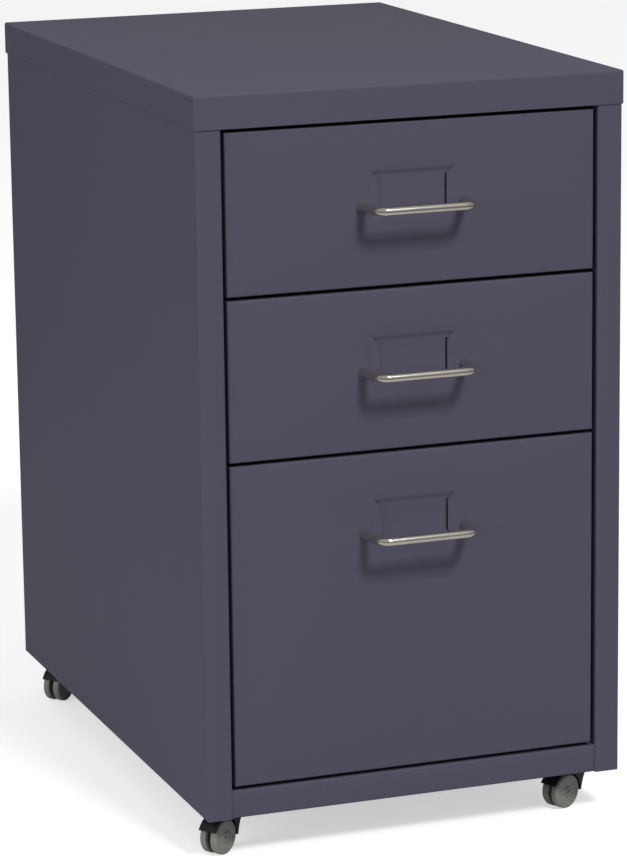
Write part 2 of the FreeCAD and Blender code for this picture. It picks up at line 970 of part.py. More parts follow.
def caster_plate(name, x, y):
    """The square plate under the pan, with the kingpin riveted into it."""
    body = new_body(f"caster_plate_{name}")
    half = "plate_size / 2"
    flat(
        body,
        "Pad",
        rectangle(f"({x}) - {half}", f"({x}) + {half}", f"({y}) - {half}", f"({y}) + {half}"),
        "plate_bottom",
        "pan_bottom",
    )
    radius = "kingpin_diameter / 2"
    disc(body, "Pad", x, y, radius, "plate_bottom - kingpin_length", "plate_bottom")
    low, high = kingpin_ring()
    disc(body, "Pad", x, y, f"{radius} + kingpin_ring", low, high)
    flat_holes(
        body,
        plate_hole_spots(x, y),
        "screw_diameter / 2 + screw_clearance",
        "plate_bottom",
        "pan_bottom",
    )


def kingpin_ring():
    """The heights between which the kingpin's snap ring holds the housing."""
    high = "plate_bottom - kingpin_ring_drop"
    return f"{high} - kingpin_ring_height", high


def disc(body, kind, x, y, radius, z0, z1):
    """Adds or cuts a round at x, y between two heights."""
    sketch = new_sketch(body, "XY_Plane", z0)
    ring(sketch, x, y, radius)
    return extrude(body, kind, sketch, f"({z1}) - ({z0})", 1)


def roller(body, kind, radius, half_width):
    """Adds or cuts a round about the axle's line, as wide each side of the middle."""
    sketch = new_sketch(body, "XZ_Plane", half_width)
    ring(sketch, "trail", "wheel_radius", radius)
    return extrude(body, kind, sketch, f"2 * ({half_width})", -1)


def caster_housing(name, x, y, turn):
    """The swivelling housing: a round cap, a nose and hood over the wheels, and a web between."""
    body = new_body(f"caster_housing_{name}")
    cap = "swivel_diameter / 2"
    disc(body, "Pad", "0", "0", cap, "swivel_bottom", "swivel_top")
    roller(body, "Pad", "hood_outer", "wheel_outer")
    nose = [
        ("trail - hood_outer", "nose_end"),
        ("trail", "nose_end"),
        ("trail", "swivel_bottom + nose_overlap"),
        ("-(swivel_diameter / 2 - nose_overlap)", "swivel_bottom + nose_overlap"),
        ("-(swivel_diameter / 2 - nose_overlap)", "swivel_bottom - nose_overlap"),
    ]
    facing(body, "Pad", nose, "-(wheel_outer)", "wheel_outer")
    roller(body, "Pocket", "hood_inner", "swivel_diameter / 2")
    ahead, behind = "trail - hood_outer - 1", "trail + hood_outer + 1"
    under = "wheel_radius - hood_outer - 1"
    below = [
        (ahead, under),
        (behind, under),
        (behind, "hood_end"),
        ("trail", "hood_end"),
        ("trail", "nose_end"),
        (ahead, "nose_end"),
    ]
    facing(body, "Pocket", below, "-(swivel_diameter / 2)", "swivel_diameter / 2")
    web = [
        ("trail - hood_inner - 1", "nose_end"),
        ("trail - axle_diameter", "wheel_radius - web_drop"),
        ("trail + axle_diameter", "wheel_radius - web_drop"),
        ("trail + 2 * axle_diameter", "wheel_radius"),
        ("trail + axle_diameter", "wheel_radius + hood_inner"),
        ("trail - hood_inner", "wheel_radius + axle_diameter"),
    ]
    facing(body, "Pad", web, "-(web_thickness / 2)", "web_thickness / 2")
    bore = "kingpin_diameter / 2 + running_clearance"
    floor = "plate_bottom - kingpin_length - swivel_gap"
    disc(body, "Pocket", "0", "0", bore, floor, "swivel_top")
    low, high = kingpin_ring()
    groove = f"{bore} + kingpin_ring"
    margin = "3 * running_clearance"
    disc(body, "Pocket", "0", "0", groove, f"{low} - {margin}", f"{high} + {margin}")
    facing_holes(
        body,
        [("trail", "wheel_radius")],
        "axle_diameter / 2",
        "-(web_thickness / 2)",
        "web_thickness / 2",
    )
    place(body, x, y, turn)


def caster_axle(name, x, y, turn):
    """The pin through the web that both wheels turn on."""
    body = new_body(f"caster_axle_{name}")
    roller(body, "Pad", "axle_diameter / 2", "wheel_outer - axle_recess")
    place(body, x, y, turn)


def caster_wheels(name, x, y, turn):
    """A pair of wheels: crowned treads, dished outer faces and a hub each side of the web."""
    radius = value("wheel_radius")
    inner, outer = value("wheel_inner"), value("wheel_outer")
    crown = value("wheel_crown")
    bore = value("axle_diameter / 2 + running_clearance")
    rim = radius - value("wheel_rim")
    hub = bore + value("wheel_hub")
    disc_inside = outer - value("wheel_disc")
    edge = crown / 3
    profile = [
        (bore, inner),
        (hub, inner),
        (hub, disc_inside),
        (rim, disc_inside),
        (rim, inner),
        (radius - edge, inner),
        (radius, inner + edge),
        (radius, outer - crown),
        (radius - edge, outer - edge),
        (radius - crown, outer),
        (bore, outer),
    ]
    wheels = []
    for side in (-1, 1):
        points = [FreeCAD.Vector(r, side * w, 0) for r, w in profile]
        face = Part.Face(Part.makePolygon(points + points[:1]))
        wheel = face.revolve(FreeCAD.Vector(), FreeCAD.Vector(0, 1, 0), 360)
        solid = Part.Solid(wheel.Shells[0]) if wheel.ShapeType != "Solid" else wheel
        if solid.Volume < 0:
            solid.reverse()
        solid.translate(FreeCAD.Vector(value("trail"), 0, radius))
        wheels.append(solid)
    feature = solids(f"caster_wheels_{name}", wheels)
    place(feature, x, y, turn)


def caster_screws():
    """The screws that hold the four plates to the pan, heads down."""
    upward = FreeCAD.Vector(0, 0, 1)
    made = []
    for _, x, y, _ in caster_spots():
        for sx, sy in plate_hole_spots(x, y):
            spot = FreeCAD.Vector(value(sx), value(sy), value("plate_bottom"))
            made.append(screw(spot, upward, value("screw_length")))
    solids("caster_screws", made)


# ---------------------------------------------------------------- assembly
def build():
    fill_sheet()
    for name, side in SIDES.items():
        side_panel(name, side)
    back_panel()
    top_cover()
    base_pan()
    front_bottom_rail()
    top_front_rail()
    front_start = "slide_front + upright_inset"
    rear_start = "slide_back - upright_inset - upright_width"
    for name, side in SIDES.items():
        upright(name, side, "front", front_start)
        upright(name, side, "rear", rear_start)
    carcass_screws()
    for n in DRAWERS:
        drawer_front(n)
        drawer_pull(n)
        drawer_pull_screws(n)
        drawer_tray(n)
        drawer_slides(n)
    for name, x, y, turn in caster_spots():
        caster_plate(name, x, y)
        caster_housing(name, x, y, turn)
        caster_axle(name, x, y, turn)
        caster_wheels(name, x, y, turn)
    caster_screws()
    DOC.recompute()


def check():
    """Stops the build if any object failed, or if a node isn't valid closed solids."""
    failed = [o.Label for o in DOC.Objects if set(o.State) & {"Invalid", "Error"}]
    if failed:
        raise RuntimeError(f"failed objects: {failed}")
    for part in PARTS:
        shape = part.Shape
        if shape.isNull() or not shape.isValid() or not shape.Solids:
            raise RuntimeError(f"{part.Label} isn't a valid solid")
        if min(s.Volume for s in shape.Solids) <= 0:
            raise RuntimeError(f"{part.Label} holds a solid of no volume")


def export():
    os.makedirs("parts", exist_ok=True)
    for part in PARTS:
        part.Shape.exportStep(os.path.join("parts", part.Label + ".step"))
    print(len(PARTS), "nodes written")


build()
check()
export()
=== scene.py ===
# %% [markdown]
# # A rolling pedestal cabinet in folded, powder-coated steel
# The imported model says where every part is and what moves. This notebook makes what the eye
# judges: sheet steel with real bends, round bow pulls, moulded casters, and their finishes.
# We load the model first and keep its parts, whose boxes size the pieces below.

import json
import math

import bmesh
import bpy
import numpy as np
from mathutils import Matrix, Vector


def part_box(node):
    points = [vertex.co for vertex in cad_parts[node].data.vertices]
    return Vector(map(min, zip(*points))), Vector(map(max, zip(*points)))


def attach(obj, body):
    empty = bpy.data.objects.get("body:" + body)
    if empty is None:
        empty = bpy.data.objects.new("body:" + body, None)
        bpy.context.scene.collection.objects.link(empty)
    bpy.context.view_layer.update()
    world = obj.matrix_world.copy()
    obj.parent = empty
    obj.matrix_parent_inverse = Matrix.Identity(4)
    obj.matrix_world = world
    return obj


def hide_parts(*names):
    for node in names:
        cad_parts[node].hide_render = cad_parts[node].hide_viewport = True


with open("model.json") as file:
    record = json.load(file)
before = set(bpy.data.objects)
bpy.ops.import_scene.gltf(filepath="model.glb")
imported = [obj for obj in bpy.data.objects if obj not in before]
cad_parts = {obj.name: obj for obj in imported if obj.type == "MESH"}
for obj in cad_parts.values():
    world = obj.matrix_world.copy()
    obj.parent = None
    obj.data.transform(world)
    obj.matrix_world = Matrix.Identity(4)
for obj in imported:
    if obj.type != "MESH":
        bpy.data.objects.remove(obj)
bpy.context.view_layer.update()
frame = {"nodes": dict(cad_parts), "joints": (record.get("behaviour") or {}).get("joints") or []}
MM = 0.001
DRAWERS = (1, 2, 3)
SIDES = {"left": -1, "right": 1}
CORNERS = ("front_left", "front_right", "rear_left", "rear_right")
SHARP_DEGREES = 32

# %% [markdown]
# ## Surfaces from arrays
# A surface can be typed in point by point, or modelled by hand. Here each one is a grid: a small
# outline carried along a path, or a set of rings one after another. numpy works out all of its
# points at once, and one helper knits the faces between neighbours, so every shape below is a
# few lines that read like a drawing.


# %% Knit grids of points into meshes
def grid_faces(rows, columns, around=True):
    """The quads of a rows x columns grid: each joins a point to its right and upper neighbours.
    around also joins the last column to the first."""
    r = np.arange(rows - 1)[:, None]
    c = np.arange(columns if around else columns - 1)[None, :]
    after = (c + 1) % columns
    corners = [r * columns + c, r * columns + after]
    corners += [(r + 1) * columns + after, (r + 1) * columns + c]
    return np.stack(corners, axis=-1).reshape(-1, 4).tolist()


def tube(rings, ends=True):
    """A closed skin over rings of points, shaped (rings, points, 3), with flat ends."""
    rows, columns, _ = rings.shape
    faces = grid_faces(rows, columns)
    if ends:
        faces.append(list(range(columns))[::-1])
        faces.append([(rows - 1) * columns + i for i in range(columns)])
    return rings.reshape(-1, 3), faces


def join(parts):
    """Many (points, faces) parts as one. They aren't merged."""
    faces, start = [], 0
    for part_points, part_faces in parts:
        faces += [[i + start for i in face] for face in part_faces]
        start += len(part_points)
    return np.concatenate([part_points for part_points, _ in parts]), faces


def make_piece(name, parts, material, body, replaces):
    """One mesh object from (points, faces) parts. It rides on a body and stands for nodes.
    Faces that meet at more than the sharp angle keep a crisp edge; the rest shade smoothly."""
    points, faces = join(parts)
    mesh = bpy.data.meshes.new(name)
    mesh.from_pydata(points.tolist(), [], faces)
    mesh.validate()
    mesh.shade_smooth()
    mesh.set_sharp_from_angle(angle=math.radians(SHARP_DEGREES))
    mesh.materials.append(material)
    piece = bpy.data.objects.new(name, mesh)
    bpy.context.scene.collection.objects.link(piece)
    face_outwards(mesh)
    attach(piece, body)
    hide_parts(*replaces)
    print(f"{name}: {len(mesh.polygons)} faces")


def face_outwards(mesh):
    """Turns each shell's faces outwards, whichever way its grid was wound."""
    shell = bmesh.new()
    shell.from_mesh(mesh)
    bmesh.ops.recalc_face_normals(shell, faces=shell.faces)
    shell.to_mesh(mesh)
    shell.free()
    mesh.update()


# %% [markdown]
# ## Finishes
# A powder coat isn't one flat colour. It flows into a fine orange peel as it cures, holds tiny
# flecks of other pigment, and its sheen drifts a little over a large panel. Those effects are
# shared by every painted piece, so they are a node group: made once, placed in each material.
# The Principled shader stays in the material, with its constant values on its own sockets.


# %% Node helpers
def new_material(name, **settings):
    """A material whose Principled shader has the given socket values."""
    material = bpy.data.materials.new(name)
    material.use_nodes = True
    shader = material.node_tree.nodes["Principled BSDF"]
    for socket, number in settings.items():
        shader.inputs[socket.replace("_", " ")].default_value = number
    return material, shader


def add_node(tree, kind, place, **values):
    """A node of that kind. Values go to its properties, or to its sockets of that name."""
    node = tree.nodes.new(kind)
    node.location = place
    for key, number in values.items():
        if hasattr(node, key):
            setattr(node, key, number)
        else:
            node.inputs[key.replace("_", " ")].default_value = number
    return node


def wire(tree, source, output, target, socket):
    tree.links.new(source.outputs[output], target.inputs[socket])


def new_group(name, inputs, outputs):
    """An empty shader node group with float inputs and named outputs."""
    group = bpy.data.node_groups.new(name, "ShaderNodeTree")
    for label, number in inputs.items():
        made = group.interface.new_socket(label, in_out="INPUT", socket_type="NodeSocketFloat")
        made.default_value = number
    for label in outputs:
        group.interface.new_socket(label, in_out="OUTPUT", socket_type="NodeSocketFloat")
    entry = group.nodes.new("NodeGroupInput")
    leave = group.nodes.new("NodeGroupOutput")
    entry.location, leave.location = (-900, 0), (700, 0)
    return group, entry, leave


def place_group(tree, group, place):
    """A group node in a material."""
    node = tree.nodes.new("ShaderNodeGroup")
    node.node_tree = group
    node.location = place
    return node


def blend_colour(tree, shader, source, output, first, second):
    """The base colour runs from first to second as the source's output goes from 0 to 1."""
    tone = add_node(tree, "ShaderNodeMix", (-450, 250), data_type="RGBA")
    tone.inputs["A"].default_value = (*first, 1)
    tone.inputs["B"].default_value = (*second, 1)
    wire(tree, source, output, tone, "Factor")
    wire(tree, tone, "Result", shader, "Base Color")


def blend_roughness(tree, shader, source, output, low, high):
    """The roughness runs from low to high as the source's output goes from 0 to 1."""
    rough = add_node(tree, "ShaderNodeMapRange", (-450, 0))
    rough.inputs["To Min"].default_value = low
    rough.inputs["To Max"].default_value = high
    wire(tree, source, output, rough, "Value")
    wire(tree, rough, "Result", shader, "Roughness")


def add_bump(tree, shader, source, output, strength, depth):
    """The source's output raises the surface by up to depth."""
    bump = add_node(tree, "ShaderNodeBump", (-250, -250), Strength=strength, Distance=depth)
    wire(tree, source, output, bump, "Height")
    wire(tree, bump, "Normal", shader, "Normal")


# %% The orange peel group
def make_peel_group():
    """Peel is the height of the cured surface, Fleck its pinpoints, Drift its slow sheen change."""
    group, entry, leave = new_group(
        "cured_powder",
        {"PeelScale": 650.0, "FleckScale": 2600.0, "DriftScale": 7.0},
        ("Peel", "Fleck", "Drift"),
    )
    place = add_node(group, "ShaderNodeTexCoord", (-900, 300))
    waves = add_node(group, "ShaderNodeTexNoise", (-500, 300), Detail=2.0, Roughness=0.45)
    spots = add_node(group, "ShaderNodeTexVoronoi", (-500, 0), feature="F1")
    edge = add_node(group, "ShaderNodeMapRange", (-250, 0), From_Min=0.05, From_Max=0.22)
    slow = add_node(group, "ShaderNodeTexNoise", (-500, -300), Detail=3.0, Roughness=0.55)
    for node, scale in ((waves, "PeelScale"), (spots, "FleckScale"), (slow, "DriftScale")):
        wire(group, place, "Object", node, "Vector")
        wire(group, entry, scale, node, "Scale")
    wire(group, waves, "Fac", leave, "Peel")
    wire(group, spots, "Distance", edge, "Value")
    wire(group, edge, "Result", leave, "Fleck")
    wire(group, slow, "Fac", leave, "Drift")
    return group


peel_group = make_peel_group()


# %% The powder coat
def make_powder_coat(name, base, fleck, roughness, peel_depth):
    """Dark violet-grey satin powder coat: two near tones, fine flecks, soft peel."""
    material, shader = new_material(name, Specular_IOR_Level=0.12, IOR=1.5)
    tree = material.node_tree
    cured = place_group(tree, peel_group, (-900, 0))
    fleck_share = add_node(tree, "ShaderNodeMapRange", (-680, 250), To_Min=0.55, To_Max=1.0)
    wire(tree, cured, "Fleck", fleck_share, "Value")
    blend_colour(tree, shader, fleck_share, "Result", fleck, base)
    blend_roughness(tree, shader, cured, "Drift", roughness - 0.05, roughness + 0.05)
    add_bump(tree, shader, cured, "Peel", 1.0, peel_depth)
    return material


COAT = (0.105, 0.0995, 0.144)
COAT_FLECK = (0.125, 0.119, 0.168)
outer_coat = make_powder_coat("powder_coat", COAT, COAT_FLECK, 0.52, 0.00006)
inner_coat = make_powder_coat("thin_powder_coat", COAT, COAT_FLECK, 0.58, 0.00003)


# %% [markdown]
# Bare metals differ in how they were finished. The pulls are drawn rod with a bright nickel
# plate: polishing leaves hair lines along the bar, so a noise squeezed along X bends the normal
# and the roughness a little. Zinc plate on the slides and screws is duller, with cloudy
# passivation colours. Bearing steel is simply bright.


# %% The metals
def make_drawn_metal(name, colour, roughness, squeeze, depth, clouds=None):
    """A metal with hair lines: a noise stretched by squeeze along each axis, and cloudy tints."""
    material, shader = new_material(name, Metallic=1.0)
    tree = material.node_tree
    place = add_node(tree, "ShaderNodeTexCoord", (-1100, 0))
    stretch = add_node(tree, "ShaderNodeMapping", (-900, 0))
    stretch.inputs["Scale"].default_value = squeeze
    hair = add_node(tree, "ShaderNodeTexNoise", (-700, 0), Scale=1.0, Detail=4.0)
    wire(tree, place, "Object", stretch, "Vector")
    wire(tree, stretch, "Vector", hair, "Vector")
    blend_roughness(tree, shader, hair, "Fac", roughness * 0.8, roughness * 1.25)
    add_bump(tree, shader, hair, "Fac", 0.6, depth)
    cloud = add_node(tree, "ShaderNodeTexNoise", (-700, 300), Scale=90.0, Detail=3.0)
    wire(tree, place, "Object", cloud, "Vector")
    blend_colour(tree, shader, cloud, "Fac", colour, clouds or colour)
    return material


nickel = make_drawn_metal(
    "bright_nickel", (0.80, 0.75, 0.67), 0.18, (60, 2500, 2500), 0.00001, (0.72, 0.67, 0.60)
)
zinc = make_drawn_metal(
    "zinc_plate", (0.60, 0.61, 0.62), 0.34, (900, 40, 900), 0.00002, (0.66, 0.63, 0.56)
)
ball_steel = make_drawn_metal(
    "bearing_steel", (0.56, 0.56, 0.57), 0.16, (300, 300, 300), 0.000005
)


# %% [markdown]
# The caster's housing is black nylon with the fine grain of its mould, and the wheels are a grey
# nylon that scuffs where it rolls. One group gives both their grain.


# %% The plastics
def make_grain_group():
    """Grain is the mould's texture, Scuff a mask of short rubbed patches."""
    group, entry, leave = new_group(
        "moulded_grain", {"GrainScale": 2200.0, "ScuffScale": 260.0}, ("Grain", "Scuff")
    )
    place = add_node(group, "ShaderNodeTexCoord", (-900, 200))
    pits = add_node(group, "ShaderNodeTexNoise", (-500, 200), Detail=1.0)
    rubs = add_node(group, "ShaderNodeTexNoise", (-500, -100), Detail=4.0, Roughness=0.7)
    mask = add_node(group, "ShaderNodeMapRange", (-250, -100), From_Min=0.52, From_Max=0.68)
    for node, scale in ((pits, "GrainScale"), (rubs, "ScuffScale")):
        wire(group, place, "Object", node, "Vector")
        wire(group, entry, scale, node, "Scale")
    wire(group, pits, "Fac", leave, "Grain")
    wire(group, rubs, "Fac", mask, "Value")
    wire(group, mask, "Result", leave, "Scuff")
    return group


grain_group = make_grain_group()


def make_nylon(name, colour, scuffed, roughness, depth):
    """Moulded nylon: plain colour, lighter and duller where it is rubbed."""
    material, shader = new_material(name, IOR=1.5)
    tree = material.node_tree
    grain = place_group(tree, grain_group, (-900, 0))
    blend_colour(tree, shader, grain, "Scuff", colour, scuffed)
    blend_roughness(tree, shader, grain, "Scuff", roughness, roughness + 0.2)
    add_bump(tree, shader, grain, "Grain", 0.5, depth)
    return material


black_nylon = make_nylon("black_nylon", (0.012, 0.012, 0.013), (0.03, 0.03, 0.032), 0.38, 0.00005)
grey_nylon = make_nylon("grey_nylon", (0.28, 0.274, 0.256), (0.31, 0.30, 0.285), 0.28, 0.00002)


# %% [markdown]
# ## Folding sheet steel
# A press brake turns a flat strip into posts, rails and channels. In the computer a box with
# bevelled edges looks similar from far away, but a real fold has an inside and an outside
# radius that share one centre, and an open end that shows how thin the sheet is. So each folded
# piece here starts from the line that runs down the middle of its sheet: its corners become
# tangent arcs, the line is moved half a thickness to each side, and the result is given a width.


# %% Lines with bends
def rounded_line(corners, radius, steps=6):
    """The line through the corners with each inner one replaced by an arc of that radius: the
    arc starts radius * tan(turn / 2) before the corner and turns evenly about its centre."""
    corners = np.asarray(corners, float)
    points = [corners[:1]]
    for before, corner, after in zip(corners, corners[1:], corners[2:]):
        back = (before - corner) / np.linalg.norm(before - corner)
        ahead = (after - corner) / np.linalg.norm(after - corner)
        turn = math.pi - math.acos(np.clip(back @ ahead, -1, 1))
        enter = corner + back * radius * math.tan(turn / 2)
        inward = (back + ahead) / np.linalg.norm(back + ahead)
        centre = corner + inward * radius / math.cos(turn / 2)
        start = (enter - centre) / radius
        along = -back
        angle = np.linspace(0, turn, steps + 1)[:, None]
        points.append(centre + radius * (start * np.cos(angle) + along * np.sin(angle)))
    points.append(corners[-1:])
    return np.concatenate(points)


def line_normals(line):
    """The unit normal at each point of a flat line: its mean direction, turned a quarter."""
    steps = np.diff(line, axis=0)
    steps /= np.linalg.norm(steps, axis=1, keepdims=True)
    mean = np.concatenate([steps[:1], steps[:-1] + steps[1:], steps[-1:]])
    mean /= np.linalg.norm(mean, axis=1, keepdims=True)
    return np.stack([-mean[:, 1], mean[:, 0]], axis=1)


PLANES = {"z": (0, 1, 2), "x": (1, 2, 0), "y": (0, 2, 1)}


def fold(corners, thickness, radius, low, high, along="z", edge=0.15 * MM):
    """A folded strip. corners is the sheet's middle line across the axis along, radius the
    middle line's bend radius, and low to high its width. The cut edges are broken by edge."""
    line = rounded_line(corners, radius) if len(corners) > 2 else np.asarray(corners, float)
    normal = line_normals(line)
    half = thickness / 2
    inset = half - edge
    across = np.array([-inset, inset, half, half, inset, -inset, -half, -half])
    width = np.array([low, low, low + edge, high - edge, high, high, high - edge, low + edge])
    flat = line[:, None, :] + normal[:, None, :] * across[None, :, None]
    rings = np.zeros((len(line), len(across), 3))
    first, second, third = PLANES[along]
    rings[..., first] = flat[..., 0]
    rings[..., second] = flat[..., 1]
    rings[..., third] = width[None, :]
    return tube(rings)


# %% Sizes shared by the sheet pieces
SHEET = 0.8 * MM
BEND = 1.7 * MM          # outside radius of a fold
MID_BEND = BEND - SHEET / 2
BACK_SHEET_GAP = 2 * SHEET
cover_low, cover_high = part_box("top_cover")
panel_low, panel_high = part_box("right_side_panel")
rail_low, rail_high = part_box("front_bottom_rail")
fronts = {n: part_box(f"drawer_{n}_front") for n in DRAWERS}
face_y = rail_low.y
body_front, body_back = panel_low.y, panel_high.y
body_bottom, body_top = panel_low.z, panel_high.z
body_half, opening_half = panel_high.x, panel_low.x
post_back = rail_high.y
cover_width = cover_high.x - cover_low.x
print(f"opening {2 * opening_half / MM:.1f} mm wide, under a cover {cover_width / MM:.1f} mm wide")


# %% [markdown]
# ## The side panels
# Each side is one sheet: the post beside the drawers is its front edge, folded inwards and then
# back, and its rear edge is folded in to hold the back panel. A narrow flange along the bottom
# carries the base pan.


# %% Fold the side panels
REAR_RETURN = 18 * MM
BOTTOM_FLANGE = 8 * MM


def side_panel(side):
    """The plan line of one side, from the post's inner edge round to the rear return."""
    half = SHEET / 2
    plan = [
        (side * (opening_half + half), post_back),
        (side * (opening_half + half), body_front + half),
        (side * (body_half - half), body_front + half),
        (side * (body_half - half), body_back - half),
        (side * (body_half - REAR_RETURN), body_back - half),
    ]
    wall = fold(plan, SHEET, MID_BEND, body_bottom, body_top)
    flange_line = [
        (side * (body_half - BOTTOM_FLANGE), body_bottom + half),
        (side * (body_half - SHEET), body_bottom + half),
    ]
    flange = fold(flange_line, SHEET, MID_BEND, post_back, body_back - BACK_SHEET_GAP, "y")
    return [wall, flange]


for name, side in SIDES.items():
    node = f"{name}_side_panel"
    make_piece(f"{name}_side", side_panel(side), outer_coat, "carcass", [node])


# %% [markdown]
# ## The cover
# The top is a shallow tray turned over: four lips folded down, and at each corner a tab that
# closes it, whose top and side show as a thin L-shaped seam. We build the tray from rings, each
# a rectangle with small corner radii, that go over the top, round the bend, down the lip and
# back inside. The seam is the same grid pushed in a little where a formula says so, so the
# cover stays one closed skin.


# %% Form the cover
COVER_BEND = 1.9 * MM
SEAM_START, SEAM_END = 2.1 * MM, 25 * MM     # the corner tab's width, from the cover's end
SEAM_DROP, SEAM_WIDTH, SEAM_DEPTH = 4.0 * MM, 1.1 * MM, 0.6 * MM
SEAM_SLIT = SEAM_WIDTH * 0.6     # the upright leg of the L is the narrower one


def ring_of(half_x, half_y, centre_y, corner, z, marks=(), steps=4):
    """A level rectangle with rounded corners as one ring of points. marks are extra points on
    its two sides, as distances from the ends of the cover."""
    quarter = np.linspace(0, math.pi / 2, steps + 1)
    x, y = [], []
    end = half_y - np.asarray(marks, float)
    for turn, (sx, sy) in enumerate(((1, 1), (-1, 1), (-1, -1), (1, -1))):
        angle = quarter + turn * math.pi / 2
        x.append(sx * (half_x - corner) + corner * np.cos(angle))
        y.append(sy * (half_y - corner) + corner * np.sin(angle))
        if turn in (1, 3):
            run = np.concatenate([end, -end[::-1]])
            x.append(np.full_like(run, sx * half_x))
            y.append(-sx * run)
    x, y = np.concatenate(x), np.concatenate(y)
    return np.stack([x, centre_y + y, np.full_like(x, z)], axis=1)


def seam_sink(points, half_x, half_y, centre_y, top):
    """How deep each point of the side lips sinks: an upside-down L, along the tab's top and
    down beside the corner."""
    from_end = half_y - np.abs(points[..., 1] - centre_y)
    drop = top - points[..., 2]
    on_side = np.abs(points[..., 0]) > half_x - 0.01 * MM
    row_half = SEAM_WIDTH * 0.9 / 2
    row = (np.abs(drop - SEAM_DROP - SEAM_WIDTH / 2) < row_half) & (from_end > SEAM_START)
    row &= from_end < SEAM_END - 0.1 * MM
    column = (from_end > SEAM_START + 0.1 * MM) & (from_end < SEAM_START + SEAM_SLIT)
    column &= drop > SEAM_DROP + 0.1 * MM
    return np.where(on_side & (row | column), SEAM_DEPTH, 0)


def cover_shell():
    """Rings over the top, round the bend, down the lip, under its edge and up the inside."""
    half_x = (cover_high.x - cover_low.x) / 2
    half_y = (cover_high.y - cover_low.y) / 2
    centre_y = (cover_high.y + cover_low.y) / 2
    top, low = cover_high.z, cover_low.z
    slit_end = SEAM_START + SEAM_SLIT
    marks = [SEAM_START, SEAM_START + 0.15 * MM, slit_end - 0.1 * MM, slit_end]
    marks += [SEAM_END - 0.2 * MM, SEAM_END]
    angle = np.linspace(0, math.pi / 2, 7)
    rings = []
    for inset, drop in zip(COVER_BEND * (1 - np.sin(angle)), COVER_BEND * (1 - np.cos(angle))):
        corner = max(COVER_BEND - inset, 0.1 * MM)
        side = np.array(marks) - inset
        rings.append(ring_of(half_x - inset, half_y - inset, centre_y, corner, top - drop, side))
    wall = 0.12 * MM
    drops = [0, wall, SEAM_WIDTH - wall, SEAM_WIDTH]
    rounding = 0.2 * MM
    for z in [top - (SEAM_DROP + drop) for drop in drops] + [low + rounding]:
        rings.append(ring_of(half_x, half_y, centre_y, COVER_BEND, z, marks))
    edge_marks = np.array(marks) - rounding
    edge_corner = COVER_BEND - rounding
    edge_x, edge_y = half_x - rounding, half_y - rounding
    rings.append(ring_of(edge_x, edge_y, centre_y, edge_corner, low, edge_marks))
    inner_x, inner_y = half_x - SHEET, half_y - SHEET
    inner_corner = COVER_BEND - SHEET
    for z in (low, top - COVER_BEND):
        rings.append(ring_of(inner_x, inner_y, centre_y, inner_corner, z, np.array(marks) - SHEET))
    deep = SHEET + inner_corner
    last = np.array(marks) - deep
    rings.append(ring_of(half_x - deep, half_y - deep, centre_y, 0.1 * MM, top - SHEET, last))
    points = np.stack(rings)
    points[..., 0] -= np.sign(points[..., 0]) * seam_sink(points, half_x, half_y, centre_y, top)
    return tube(points)


make_piece("cover", [cover_shell()], outer_coat, "carcass", ["top_cover"])


# %% [markdown]
# ## The rails between the posts
# The bottom rail is a channel that opens backwards. The rail behind the cover's lip is an angle.


# %% Fold the rails
def bottom_rail():
    half = SHEET / 2
    line = [
        (post_back, body_bottom + half),
        (face_y + half, body_bottom + half),
        (face_y + half, rail_high.z - half),
        (post_back, rail_high.z - half),
    ]
    return [fold(line, SHEET, MID_BEND, -opening_half, opening_half, "x")]


def top_rail():
    low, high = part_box("top_front_rail")
    half = SHEET / 2
    line = [
        (low.y + half, low.z),
        (low.y + half, high.z - half),
        (high.y, high.z - half),
    ]
    return [fold(line, SHEET, MID_BEND, low.x, high.x, "x")]


make_piece("bottom_rail", bottom_rail(), outer_coat, "carcass", ["front_bottom_rail"])
make_piece("top_rail", top_rail(), outer_coat, "carcass", ["top_front_rail"])


# %% [markdown]
# ## The drawer fronts
# A front is a shallow pan with a label holder pressed into it: a field pushed back 1.6 mm, with
# two flaps left standing in the face, so that a card slides in behind them. The pan is made of
# rectangular rings again. The field is a height map on a grid whose lines crowd together at its
# edges, and the flaps are thin plates of their own. The card goes in through a deeper slot under
# the right-hand flap, which is the dark line beside each label.


# %% Press the drawer fronts
LABEL_DROP = 40.5 * MM
LABEL_HALF = 40 * MM
LABEL_HEIGHT = 43 * MM
LABEL_DEPTH = 1.6 * MM
FLAP = 8 * MM
FRONT_FLANGE = 14 * MM
FIELD_SLOPE = 3.0 * MM     # the ramps beside the field
FIELD_RISE = 5.0 * MM      # the gentler ramps above and below it
SLOT_DEPTH = 3.8 * MM      # the right-hand slot that a card slides in through
SLOT_EDGE = 30.4 * MM
PATCH_MARGIN = 6 * MM


def crowded(low, high, slope, margin, plain=5, steep=7):
    """Positions from low - margin to high + margin, close together over the two slopes."""
    return np.concatenate(
        [
            [low - margin],
            np.linspace(low, low + slope, steep),
            np.linspace(low + slope, high - slope, plain + 2)[1:-1],
            np.linspace(high - slope, high, steep),
            [high + margin],
        ]
    )


def smooth_step(value):
    """0 below 0, 1 above 1, and 3v^2 - 2v^3 between."""
    value = np.clip(value, 0, 1)
    return value * value * (3 - 2 * value)


def field_depth(x, z, low, high):
    """How far the label field lies behind the face: the lesser of its two ramps, and deeper
    still in the slot under the right-hand flap."""
    side = smooth_step((LABEL_HALF - np.abs(x)) / FIELD_SLOPE)
    rise = smooth_step(np.minimum(z - low, high - z) / FIELD_RISE)
    slot = smooth_step((x - SLOT_EDGE) / (0.5 * MM)) * smooth_step((LABEL_HALF - x) / (2 * MM))
    within = smooth_step((np.minimum(z - low, high - z) - 7 * MM) / (1.5 * MM))
    return LABEL_DEPTH * np.minimum(side, rise) + (SLOT_DEPTH - LABEL_DEPTH) * slot * within


